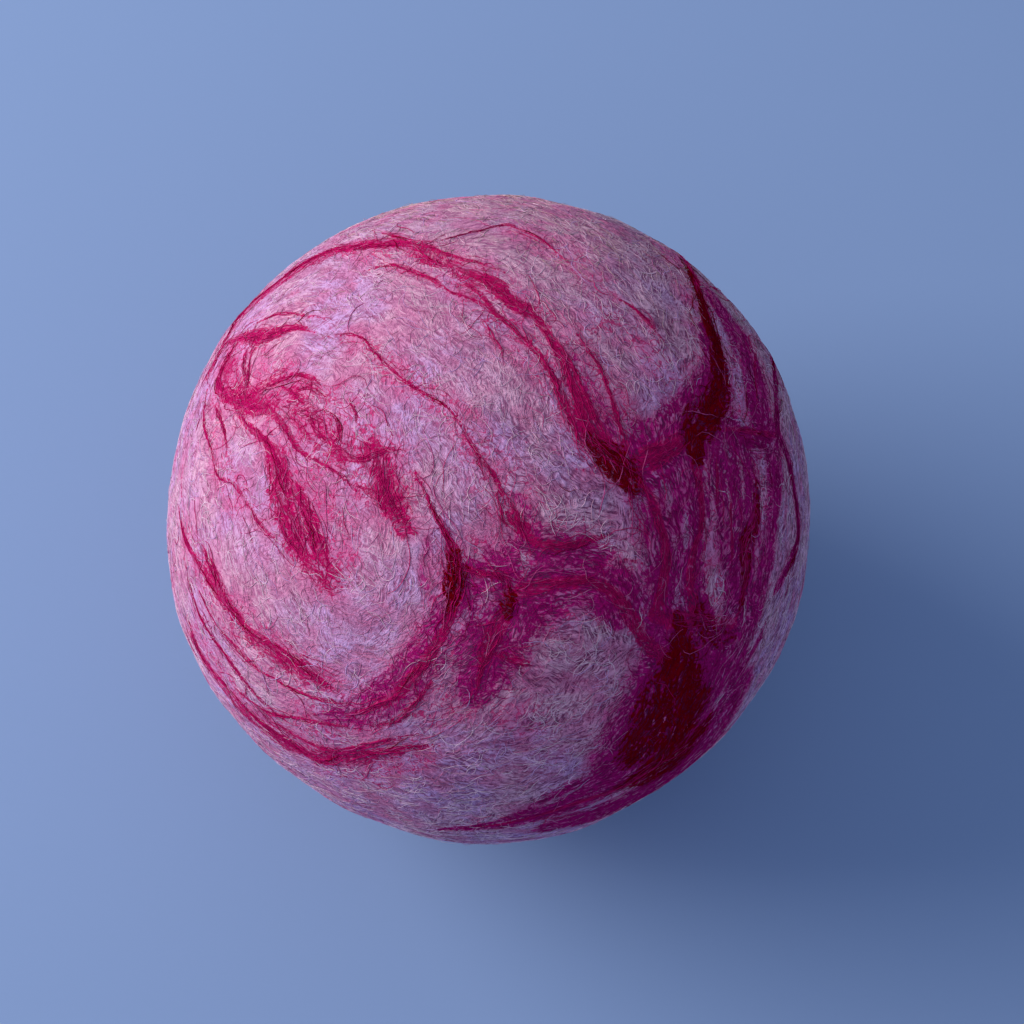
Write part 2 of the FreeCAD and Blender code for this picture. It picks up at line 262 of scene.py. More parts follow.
        (.6, (-.42, .12, .5), (-.37, .09, .8), (-.33, .05, .6)),
        (.5, (-.37, .23, 3.5), (-.32, .12, 5), (-.27, -.01, 3.6)),
    ],
    "wisp_inner_curl": [
        (.9, (-.235, .16, .4), (-.205, .1, .5), (-.175, .03, .6), (-.14, -.04, .9), (-.115, -.1, 1.6),
         (-.105, -.17, 2.2), (-.12, -.245, 1.8), (-.145, -.325, 1.5), (-.2, -.42, 1.7), (-.29, -.525, 1.7),
         (-.37, -.57, 1.2), (-.455, -.6, .6)),
        ("dark", .8, (-.125, -.09, .6), (-.108, -.14, 2.2), (-.115, -.2, 1.7), (-.13, -.27, .9)),
        ("purple", .35, (-.195, -.06, 1), (-.2, -.16, 1.6), (-.195, -.25, 1)),
        ("purple", .5, (-.14, -.28, 3), (-.24, -.46, 4.2), (-.4, -.58, 3.5), (-.52, -.6, 2)),
        (.6, (-.18, -.48, .6), (-.28, -.6, 1.2), (-.38, -.63, .8)),
    ],
    "wisp_left_arc": [
        (.85, (-.965, .06, .5), (-.955, -.02, .8), (-.92, -.09, 1), (-.88, -.16, 1.3), (-.84, -.215, 1.3),
         (-.765, -.315, 1.1), (-.7, -.36, 1.5), (-.64, -.41, 1.8), (-.56, -.47, 1.6), (-.5, -.51, .8)),
        (.7, (-.9, -.05, .5), (-.85, -.15, 1.6), (-.83, -.22, .9)),
        (.51, (-.88, -.12, 2.4), (-.76, -.33, 3), (-.58, -.46, 3.6)),
        (.6, (-.92, -.16, .4), (-.84, -.32, .6), (-.72, -.45, .7), (-.58, -.53, .8), (-.46, -.56, .6)),
        (.5, (-.7, -.28, .4), (-.62, -.38, .5), (-.53, -.44, .5)),
        (.7, (-.95, -.1, .5), (-.91, -.26, .7), (-.84, -.38, .8), (-.74, -.52, .8), (-.66, -.6, .5)),
    ],
    "wisp_lower_left_rim": [
        (.9, (-.94, -.28, .8), (-.9, -.4, 1.2), (-.84, -.48, 1.2), (-.78, -.555, 1.3), (-.67, -.66, 1.6),
         (-.56, -.735, 2.2), (-.47, -.73, 1.6), (-.395, -.715, 1.3), (-.28, -.7, .9), (-.18, -.695, .5)),
        (.7, (-.74, -.57, .6), (-.62, -.66, .8), (-.5, -.705, 1), (-.36, -.68, .8), (-.24, -.66, .5)),
        (.56, (-.93, -.34, 1.8), (-.8, -.55, 2.6), (-.62, -.7, 3.6), (-.44, -.73, 3.4), (-.3, -.71, 2)),
        (.6, (-.8, -.5, .4), (-.7, -.58, .7), (-.62, -.6, .9), (-.52, -.62, .8), (-.42, -.64, .5)),
        (.5, (-.56, -.78, .5), (-.42, -.8, .7), (-.32, -.83, .5)),
    ],
    "wisp_long_thread": [
        (.75, (-.505, .57, .4), (-.44, .58, .4), (-.385, .57, .5), (-.355, .535, .6), (-.29, .465, .6),
         (-.2, .395, .6), (-.115, .34, .6), (-.06, .245, .6), (-.035, .2, .6), (.015, .135, .7),
         (.035, .08, .8), (.09, .015, 1), (.115, -.035, .8)),
        (.6, (-.035, .2, .4), (-.02, .13, .4)),
        (.6, (.02, .09, .5), (.035, .03, .6), (.05, -.02, .5)),
        (.8, (.05, .02, .8), (.09, -.02, 2.2), (.12, -.05, .8)),
        (.5, (.1, .265, .3), (.13, .225, .4), (.18, .215, .4), (.215, .195, .4), (.27, .15, .4),
         (.34, .15, .4)),
    ],
    "wisp_centre_net": [
        (.8, (-.12, -.14, .8), (-.04, -.16, 1.2), (0, -.165, 1.2), (.045, -.185, 1.8), (.05, -.23, 2.2)),
        (.8, (.1, -.04, .8), (.13, -.07, 1.2), (.18, -.085, 1.5), (.24, -.085, 1.2), (.3, -.07, .9),
         (.36, -.055, .6)),
        ("dark", .6, (.045, -.2, .8), (.05, -.26, 1.6), (.05, -.3, .8)),
        (.85, (.05, -.22, 1.8), (.09, -.215, 1.8), (.16, -.205, 1.8), (.22, -.2, 1.6), (.3, -.195, 1.4),
         (.36, -.225, 1.4), (.42, -.29, 1.5), (.46, -.36, 1.6)),
        (.75, (.04, -.28, 1.6), (.01, -.34, 2.8), (-.02, -.4, 2.2), (-.04, -.46, 1), (-.06, -.55, .5)),
        (.7, (0, -.4, 1.2), (.06, -.43, 1.3), (.12, -.45, .6)),
        ("purple", .7, (-.08, -.18, 4), (.06, -.23, 8), (.18, -.17, 7.5), (.3, -.17, 5), (.4, -.26, 5)),
        ("purple", .62, (.04, -.3, 7), (-.02, -.42, 6), (-.06, -.54, 3)),
        ("purple", .4, (.08, .05, 2), (.12, -.06, 4)),
        ("bare", .8, (.09, -.1, .6), (.11, -.13, 1.8), (.1, -.17, .8)),
        ("bare", .7, (0, -.2, .8), (-.02, -.25, 1.8), (-.05, -.3, .8)),
        (.5, (.3, -.1, .4), (.38, -.13, .5), (.46, -.14, .5)),
    ],
    "wisp_left_strand": [
        (.7, (-.87, .42, .6), (-.88, .345, .5), (-.875, .285, .5), (-.86, .24, .5), (-.84, .155, .6),
         (-.8, .135, .7), (-.77, .1, .8), (-.75, .06, .6)),
        (.6, (-.75, .07, .5), (-.71, 0, .6), (-.66, -.05, .5)),
        (.5, (-.95, .22, .4), (-.955, .1, .6), (-.95, 0, .5)),
    ],
    "wisp_crown_threads": [
        (.6, (-.15, .86, .3), (-.04, .885, .4), (.04, .9, .5), (.075, .905, 1), (.1, .895, .5)),
        (.6, (.05, .91, .4), (.16, .865, .5), (.22, .82, .5), (.27, .77, .4)),
        (.6, (.38, .68, .4), (.43, .65, .5), (.475, .615, .5), (.51, .575, .5), (.55, .51, .4)),
        (.5, (.425, .585, .4), (.445, .545, .5), (.495, .51, .4)),
    ],
}
backWisps = {
    "wisp_back_sweep": [
        (.9, (-.9, .1, 1), (-.8, .38, 1.6), (-.58, .62, 2.2), (-.3, .76, 2.4), (0, .8, 2.6),
         (.28, .72, 2.8), (.5, .54, 2.2), (.6, .3, 1)),
        (.7, (-.74, .34, .6), (-.52, .54, .9), (-.28, .67, 1), (0, .72, 1), (.26, .62, 1), (.44, .46, .6)),
        ("purple", .6, (-.4, .7, 4), (0, .78, 5), (.38, .62, 5), (.56, .4, 3)),
    ],
    "wisp_back_band": [
        ("dark", .9, (.84, .2, .6), (.78, .02, 1.4), (.68, -.14, 2.2), (.52, -.28, 2.4), (.3, -.38, 1)),
        (.9, (.86, .3, 1), (.8, .06, 2.2), (.68, -.16, 3.2), (.5, -.32, 3.4), (.28, -.4, 2.4),
         (.08, -.4, 1)),
        ("purple", .7, (.8, .1, 4), (.68, -.18, 7), (.5, -.34, 7), (.28, -.42, 4)),
    ],
    "wisp_back_veil": [
        (.8, (.38, -.46, 1), (.45, -.62, 2), (.46, -.78, 1)),
        (.8, (.6, -.32, 1.2), (.66, -.5, 2), (.62, -.68, 1)),
        ("purple", .68, (.46, -.44, 6), (.54, -.58, 8), (.52, -.72, 5)),
        ("bare", .8, (.53, -.48, .6), (.55, -.58, 1.8), (.54, -.68, .6)),
    ],
    "wisp_back_curl": [
        (.9, (-.14, .12, .8), (-.3, .19, 1.2), (-.45, .12, 1.8), (-.52, -.04, 2.2), (-.46, -.2, 2),
         (-.32, -.28, 1.4), (-.16, -.24, .8)),
        ("purple", .5, (-.38, .16, 3), (-.52, -.02, 5), (-.42, -.22, 4)),
    ],
    "wisp_back_fork": [
        (.85, (-.92, -.12, 1), (-.8, -.3, 1.6), (-.64, -.46, 2.2), (-.44, -.58, 2), (-.22, -.66, .8)),
        (.8, (-.66, -.48, 1.2), (-.66, -.62, 1.4), (-.58, -.74, .8)),
        ("purple", .5, (-.8, -.3, 3), (-.62, -.48, 5), (-.44, -.58, 4)),
    ],
    "wisp_back_thread": [
        (.7, (-.72, .14, .5), (-.56, .3, .7), (-.42, .44, .7), (-.32, .6, .5)),
    ],
    "wisp_back_patch": [
        (.9, (.1, -.04, 1.2), (.2, .04, 2.4), (.34, .08, 3.2), (.46, .04, 2.2), (.56, -.04, 1)),
        ("purple", .6, (.16, 0, 3), (.32, .07, 6), (.5, 0, 3)),
    ],
    "wisp_back_rim": [
        (.8, (-.3, -.9, .8), (-.06, -.94, 1.6), (.18, -.91, 2), (.4, -.84, 1.4), (.54, -.76, .8)),
        ("purple", .6, (-.06, -.94, 3), (.18, -.91, 4), (.4, -.84, 3)),
    ],
}
# wool between the wisps that took up a little dye: its strength, then the points
showBlushes = [
    (.75, (-.8, .52, 6), (-.72, .44, 8), (-.62, .34, 9), (-.56, .2, 10), (-.55, .04, 10), (-.5, -.12, 7)),
    (.6, (-.48, .34, 7), (-.38, .22, 8), (-.31, .1, 7)),
    (.45, (-.84, .4, 4), (-.84, .22, 4), (-.78, .08, 5)),
    (.55, (-.4, .85, 4), (-.1, .76, 6), (.12, .6, 8), (.26, .44, 9), (.36, .26, 9)),
    (.5, (-.42, .57, 3), (-.26, .44, 4), (-.08, .3, 4), (.05, .08, 7), (.14, -.04, 7)),
    (.65, (-.1, -.14, 5), (.08, -.2, 12), (.26, -.16, 9), (.42, -.28, 6)),
    (.6, (.02, -.32, 9), (-.06, -.46, 8), (-.2, -.56, 7)),
    (.55, (-.12, -.24, 5), (-.24, -.46, 6), (-.42, -.6, 7), (-.58, -.62, 7)),
    (.6, (-.94, -.04, 4), (-.82, -.26, 6), (-.66, -.42, 7), (-.5, -.52, 5)),
    (.6, (-.9, -.36, 5), (-.74, -.6, 6), (-.5, -.74, 7), (-.24, -.72, 5)),
    (.6, (.58, .8, 4), (.68, .62, 8), (.72, .44, 9), (.64, .26, 10)),
    (.7, (.8, .5, 8), (.84, .32, 8), (.8, .12, 14), (.78, -.12, 14), (.74, -.34, 12), (.66, -.56, 10)),
    (.5, (.34, .6, 5), (.46, .56, 5), (.54, .44, 4)),
    (.45, (-.16, -.52, 8), (0, -.56, 8), (.1, -.62, 6)),
    (.28, (.12, -.44, 12), (.26, -.56, 13), (.1, -.7, 12)),
    (.4, (.1, .88, 4), (.26, .8, 5), (.36, .68, 4)),
]
backBlushes = [
    (.6, (-.8, .36, 6), (-.4, .7, 8), (.1, .78, 9), (.5, .52, 8)),
    (.6, (.82, .1, 8), (.66, -.18, 10), (.36, -.38, 9)),
    (.65, (.44, -.46, 9), (.54, -.62, 12), (.5, -.76, 8)),
    (.6, (-.36, .16, 6), (-.52, -.04, 9), (-.36, -.26, 7)),
    (.6, (-.84, -.24, 6), (-.6, -.5, 9), (-.36, -.62, 6)),
    (.55, (.14, 0, 6), (.34, .07, 9), (.52, 0, 6)),
    (.5, (-.2, -.92, 5), (.16, -.9, 8), (.44, -.82, 5)),
]
# undyed strands that only steer the pale fibres round the swirls, as points across and up
showGuides = [
    [(-.58, -.25), (-.49, -.38), (-.33, -.41), (-.21, -.31), (-.18, -.16), (-.24, -.03)],
    [(-.5, -.2), (-.42, -.28), (-.31, -.27), (-.26, -.16)],
    [(.22, .87), (.41, .68), (.53, .37)],
    [(.1, .37), (.22, .12), (.35, -.06)],
    [(.13, -.62), (.35, -.55), (.47, -.37)],
    [(-.44, .9), (-.3, .66), (-.12, .55), (.05, .45)],
    [(-.62, .5), (-.45, .47), (-.3, .35), (-.2, .2)],
    [(-.28, .22), (-.2, .27), (-.13, .2), (-.17, .1)],
    [(-.8, 0), (-.77, -.15), (-.68, -.28)],
    [(-.4, -.8), (-.15, -.78), (.15, -.76)],
    [(.9, .25), (.92, 0), (.88, -.2)],
    [(.7, -.75), (.85, -.5), (.93, -.25)],
]
backGuides = [
    [(-.7, -.05), (-.4, .3), (-.05, .2), (0, -.1)],
    [(-.1, -.5), (.2, -.6), (.5, -.5)],
    [(.5, .7), (.75, .4), (.88, 0)],
    [(-.2, .6), (.15, .62), (.35, .4)],
]


def smoothPath(points):
    # Catmull-Rom steps between the listed points
    points = np.array(points, float)
    padded = np.vstack([points[:1], points, points[-1:]])
    before, start, end, after = padded[:-3], padded[1:-2], padded[2:-1], padded[3:]
    rows = []
    for t in np.arange(wispLook["smoothSteps"]) / wispLook["smoothSteps"]:
        rows.append(0.5 * (2 * start + (end - before) * t + (2 * before - 5 * start + 4 * end - after) * t**2
                           + (3 * start - before - 3 * end + after) * t**3))
    steps = np.stack(rows, 1).reshape(-1, points.shape[1])
    return np.vstack([steps, points[-1:]])


def unit(vectors):
    return vectors / np.maximum(np.linalg.norm(vectors, axis=-1, keepdims=True), 1e-12)


def evenSpine(points, turn):
    # evenly spaced directions along a strand, the way it runs, and its widths if it has any
    path = smoothPath(points)
    place = surfaceDirection(path[:, 0], path[:, 1], turn)
    run = np.concatenate([[0], np.cumsum(np.linalg.norm(np.diff(place, axis=0), axis=1))]) * ballRadius
    at = np.linspace(0, run[-1], max(int(run[-1] / wispLook["sampleStep"]), 3))
    columns = [np.interp(at, run, column) for column in np.hstack([place, path[:, 2:]]).T]
    even = unit(np.stack(columns[:3], 1))
    return even, unit(np.gradient(even, axis=0)), columns[3:]


strands = []
guides = []
for wisps, blushes, lines, turn in ((showWisps, showBlushes, showGuides, 0),
                                    (backWisps, backBlushes, backGuides, 180)):
    for wispName, parts in {**wisps, "": [("blush", *blush) for blush in blushes]}.items():
        for part in parts:
            kind, strength, *points = part if isinstance(part[0], str) else ("crimson", *part)
            place, along, (width,) = evenSpine(points, turn)
            strands.append({"wisp": wispName, "kind": kind, "place": place, "along": along,
                            "strength": min(strength * wispLook["strengths"][kind], 1.0),
                            "half": width * wispLook["widths"][kind] * mm / 2})
    guides += [evenSpine(points, turn)[:2] for points in lines]
wispNames = list(dict.fromkeys(strand["wisp"] for strand in strands if strand["wisp"]))
dyes = ("crimson", "purple", "dark")
print("wisps:", len(wispNames), "strands:", len(strands))


def spacing(places, middles):
    # how far each of these directions is from each of those, in metres over the ball
    return ballRadius * np.sqrt(np.maximum(2 - 2 * places @ middles.T, 0))


def inParts(places):
    # a few thousand rows at a time, to save memory
    return [slice(start, start + 4096) for start in range(0, len(places), 4096)]


def dyeAt(places):
    # how strong each kind of dye is at each direction
    fields = {kind: np.zeros(len(places)) for kind in wispLook["widths"]}
    for strand in strands:
        middle = unit(strand["place"].mean(axis=0))
        spread = np.arccos(np.clip((strand["place"] @ middle).min(), -1, 1))
        reach = min(spread + 2 * strand["half"].max() / ballRadius, math.pi)
        near = np.flatnonzero(places @ middle > math.cos(reach))
        fade = np.clip(1.5 - spacing(places[near], strand["place"]) / strand["half"], 0, 1)
        value = (fade * fade * (3 - 2 * fade)).max(axis=1) * strand["strength"]
        field = fields[strand["kind"]]
        field[near] = np.maximum(field[near], value)
    for kind in dyes:
        fields[kind] *= 1 - fields["bare"]
    return fields


def strongestDye(fields):
    return np.max([fields[kind] for kind in dyes], axis=0)


def wispAt(places):
    # the number of the wisp that each direction lies nearest to
    dyed = [strand for strand in strands if strand["kind"] in dyes]
    middles, half = (np.concatenate([strand[key] for strand in dyed]) for key in ("place", "half"))
    lengths = [len(strand["place"]) for strand in dyed]
    which = np.repeat([wispNames.index(strand["wisp"]) for strand in dyed], lengths)
    owner = np.zeros(len(places), int)
    for part in inParts(places):
        owner[part] = which[np.argmin(spacing(places[part], middles) - half, axis=1)]
    return owner


# which way the fibres run, on a grid of tilts and bearings: along the wisps that are near, and
# elsewhere round the middle of the show side
flowLook = {
    "rows": 128, "columns": 256, "nearest": 1.2 * mm, "roundTheShowSide": 0.02,
    "wispPull": (5 * mm)**4 / 10,
}


def squared(vectors):
    # each vector times itself, so that flows in opposite senses add up
    return (vectors[:, :, None] * vectors[:, None, :]).reshape(-1, 9)


def flowTable():
    rows, columns = flowLook["rows"], flowLook["columns"]
    tilt = (np.arange(rows) + 0.5) / rows * math.pi
    bearing = (np.arange(columns) + 0.5) / columns * 2 * math.pi - math.pi
    tilt, bearing = (grid.ravel() for grid in np.meshgrid(tilt, bearing, indexing="ij"))
    place = np.stack([np.sin(tilt) * np.cos(bearing), np.sin(tilt) * np.sin(bearing), np.cos(tilt)], 1)
    steering = [(strand["place"], strand["along"]) for strand in strands if strand["wisp"]] + guides
    around, along = (np.vstack(lines) for lines in zip(*steering))
    total = np.zeros((len(place), 9))
    for part in inParts(place):
        nearness = 1 / (spacing(place[part], around)**2 + flowLook["nearest"]**2)**2
        total[part] = nearness @ squared(along) * flowLook["wispPull"]
    total += flowLook["roundTheShowSide"] * squared(unit(np.cross(sideAxes(0)[2], place)))
    total = total.reshape(-1, 3, 3)
    east = unit(np.cross(np.array([0, 0, 1.0]), place))
    north = np.cross(place, east)

    def form(first, second):
        return np.einsum("ni,nij,nj->n", first, total, second)

    angle = 0.5 * np.arctan2(2 * form(east, north), form(east, east) - form(north, north))
    return east * np.cos(angle)[:, None] + north * np.sin(angle)[:, None]


flowDirections = flowTable()
print("flow worked out")


def flowAt(places):
    rows, columns = flowLook["rows"], flowLook["columns"]
    tilt = np.arccos(np.clip(places[:, 2], -1, 1)) / math.pi
    bearing = (np.arctan2(places[:, 1], places[:, 0]) + math.pi) / (2 * math.pi)
    row = np.clip((tilt * rows).astype(int), 0, rows - 1)
    return flowDirections[row * columns + (bearing * columns).astype(int) % columns]


def dots(first, second):
    return np.sum(first * second, axis=1, keepdims=True)


def flatTo(places, vectors):
    # the part of each vector that lies along the surface, at unit length
    return unit(vectors - places * dots(vectors, places))


def flowLike(places, heading):
    # the flow at each place, in the sense that is nearer the heading
    flow = flatTo(places, flowAt(places))
    return flow * np.sign(dots(flow, heading) + 1e-9)


# the ball's own form: fine ripples, and lumps as (across, up, turn, spread in mm, height in mm)
formLook = {
    "ripples": 26, "rippleSizes": (5 * mm, 13 * mm), "rippleHeight": 0.016 * mm, "largest": 1.012,
    "mottles": 34, "mottleSizes": (1.6 * mm, 6 * mm), "mottleContrast": 0.26, "flatFrom": 0.05,
    "lumps": [(.60, .60, 0, 16, .50), (.97, -.02, 0, 14, -.75), (.70, -.66, 0, 12, -.45),
              (.79, -.55, 0, 10, -1.2), (.50, -.86, 0, 10, -.80), (-.985, .09, 0, 14, -.40),
              (-.97, -.25, 0, 14, .30), (-.55, -.80, 0, 12, -.45), (.0, .95, 0, 14, .10),
              (-.30, .20, 0, 12, .20), (.25, -.30, 0, 12, .20), (-.20, -.05, 180, 14, .35),
              (.50, .30, 180, 14, -.40), (-.60, -.50, 180, 14, .30), (.30, -.70, 180, 12, -.3)],
}
ripple = np.random.default_rng(3)


def randomWaves(count, sizes):
    # how fast each wave runs along x, y and z, and where it starts
    ways = unit(ripple.normal(size=(count, 3))) * 2 * math.pi * ballRadius
    ways = ways / ripple.uniform(*sizes, count)[:, None]
    return list(zip(ways, ripple.uniform(0, 2 * math.pi, count)))


rippleWaves = randomWaves(formLook["ripples"], formLook["rippleSizes"])
mottleWaves = randomWaves(formLook["mottles"], formLook["mottleSizes"])


def waveSum(places, waves, shift=0.0):
    return sum(np.sin(places @ way + phase + shift) for way, phase in waves)


def mottleAt(places):
    # near 0 where the wool is rosy, near 1 where it is whitest
    spread = math.sqrt(formLook["mottles"] / 2)
    return np.clip(waveSum(places, mottleWaves) / spread * formLook["mottleContrast"] + 0.5, 0, 1)


def ballReach(places):
    # the ball's radius in each direction, down to the flat that it stands on
    reach = ballRadius + formLook["rippleHeight"] * waveSum(places, rippleWaves)
    for across, up, turn, spread, height in formLook["lumps"]:
        away = spacing(places, surfaceDirection(np.array([across]), np.array([up]), turn))[:, 0]
        reach += height * mm * np.exp(-(away / (spread * mm))**2)
    down = -places[:, 2]
    toFlat = np.where(down > formLook["flatFrom"], ballCentre[2] / np.maximum(down, formLook["flatFrom"]), 1)
    return np.minimum(np.minimum(reach, ballRadius * formLook["largest"]), toFlat)


def operator(operation):
    # the methods for a socket on the left and on the right of a sign
    return (lambda self, other: self.maths(operation, self, other),
            lambda self, other: self.maths(operation, other, self))


class Wire:
    # a shader socket that adds Math nodes when it is used in a sum
    __add__, __radd__ = operator("ADD")
    __sub__, __rsub__ = operator("SUBTRACT")
    __mul__, __rmul__ = operator("MULTIPLY")
    __truediv__, __rtruediv__ = operator("DIVIDE")

    def __init__(self, tree, socket):
        self.tree = tree
        self.socket = socket

    def node(self, kind, settings=None, output=0, **inputs):
        # any node: its type, its settings first, then the values or links of its sockets
        made = self.tree.nodes.new(kind)
        for key, value in (settings or {}).items():
            setattr(made, key, value)
        for key, value in inputs.items():
            socket = made.inputs[int(key[1:])] if key[1:].isdigit() else made.inputs[key.replace("_", " ")]
            if isinstance(value, Wire):
                self.tree.links.new(value.socket, socket)
            else:
                socket.default_value = value
        return Wire(self.tree, made.outputs[output])

    def maths(self, operation, first, second=0.0):
        return self.node("ShaderNodeMath", {"operation": operation}, i0=first, i1=second)

    def clamped(self):
        return self.node("ShaderNodeClamp", Value=self)

    def atLeast(self, other):
        return self.maths("MAXIMUM", self, other)

    def atMost(self, other):
        return self.maths("MINIMUM", self, other)

    def step(self, low, high):
        # 0 up to low, 1 from high, smooth between
        return self.node("ShaderNodeMapRange", {"interpolation_type": "SMOOTHSTEP"}, i0=self, i1=low, i2=high)

    def noise(self, scale, detail=2.0, roughness=0.6, output=0):
        return self.node("ShaderNodeTexNoise", None, output, Vector=self, Scale=scale, Detail=detail,
                         Roughness=roughness)

    def mixed(self, first, second):
        # for colours: first where this is 0, second where it is 1
        colours = [(*colour, 1) if isinstance(colour, tuple) else colour for colour in (first, second)]
        return self.node("ShaderNodeMix", {"data_type": "RGBA"}, 2, i0=self, i6=colours[0], i7=colours[1])

    def vector(self, operation, other, output=0):
        return self.node("ShaderNodeVectorMath", {"operation": operation}, output, i0=self, i1=other)

    def along(self, way):
        # how far this place lies along a direction
        return self.vector("DOT_PRODUCT", way, "Value")

    def attribute(self, name, output="Fac"):
        return self.node("ShaderNodeAttribute", {"attribute_name": name}, output)

    def feed(self, shader, name):
        self.tree.links.new(self.socket, shader.inputs[name])

    def bump(self, shader, strength, depth):
        self.node("ShaderNodeBump", Height=self, Strength=strength, Distance=depth).feed(shader, "Normal")


def newMaterial(name, roughness=1.0, gloss=0.0):
    # dull wool unless told otherwise
    material = bpy.data.materials.new(name)
    material.use_nodes = True
    tree = material.node_tree
    shader = tree.nodes["Principled BSDF"]
    shader.inputs["Roughness"].default_value = roughness
    shader.inputs["Specular IOR Level"].default_value = gloss
    return material, shader, Wire(tree, None).node("ShaderNodeTexCoord", None, "Object")


# the felted body: its wool is stretched noise in tufts that follow the flow, over which the dyes lie
bodyLook = {
    "subdivisions": 8, "innerSubdivisions": 6, "innerRadius": 31.5 * mm, "thinnest": 0.5 * mm,
    "streakSize": 0.18 * mm, "streakReach": 9, "streakStep": 0.18 * mm, "streakHeight": 0.10 * mm,
    "tufts": (900, 700), "tuftTurn": 0.45, "along": 800.0, "across": 5200.0,
    "bump": 0.9, "bumpDepth": 0.20 * mm, "shadeWay": (.85, -.35, 0.0), "warmLightWay": (.25, 1.0, 0.0),
    "palePink": (.79, .43, .585), "paleLilac": (.70, .41, .74), "paleWarm": (.60, .38, .40),
    "rosy": (.74, .25, .45), "gapShade": (.40, .11, .25), "shadeSideGapShade": (.14, .015, .08), "pink": (.66, .13, .33),
    "magenta": (.58, .010, .21), "deepPurple": (.16, .0, .05), "crimson": (.60, .005, .13),
    "deepCrimson": (.26, .0, .045), "dark": (.26, .0, .008), "blackRed": (.09, .0, .0),
}


def speckle(places, size):
    # one random number for each little cell of the surface
    cell = np.floor(places * ballRadius / size).astype(np.int64)
    mixed = (cell[:, 0] * 73856093) ^ (cell[:, 1] * 19349663) ^ (cell[:, 2] * 83492791)
    mixed = (mixed ^ (mixed >> 13)) * 1274126177
    return ((mixed >> 7) & 0xFFFF) / 65535.0


def streaksAt(places):
    # random specks smeared along the flow, so that they read as matted fibres
    size, reach = bodyLook["streakSize"], bodyLook["streakReach"]
    total = speckle(places, size)
    for way in (1, -1):
        at = places
        heading = flowAt(at) * way
        for i in range(reach):
            at = unit(at + heading * bodyLook["streakStep"] / ballRadius)
            heading = flowLike(at, heading)
            total = total + speckle(at, size)
    streak = total / (2 * reach + 1)
    return np.clip((streak - streak.mean()) / streak.std() * 0.2 + 0.5, 0, 1)


def fineFibres(place, name, warp):
    # noise drawn out along the flow: about 1 where a fibre lies and 0 between fibres
    threads = place.attribute(name, "Vector")
    stretched = threads.vector("MULTIPLY", (bodyLook["along"], bodyLook["across"], 1.0))
    bent = stretched.vector("ADD", place.node("ShaderNodeCombineXYZ", Y=warp))
    return ((bent.noise(1.0, 2.0, 0.65) - 0.5) * 2.8 + 0.5).clamped()


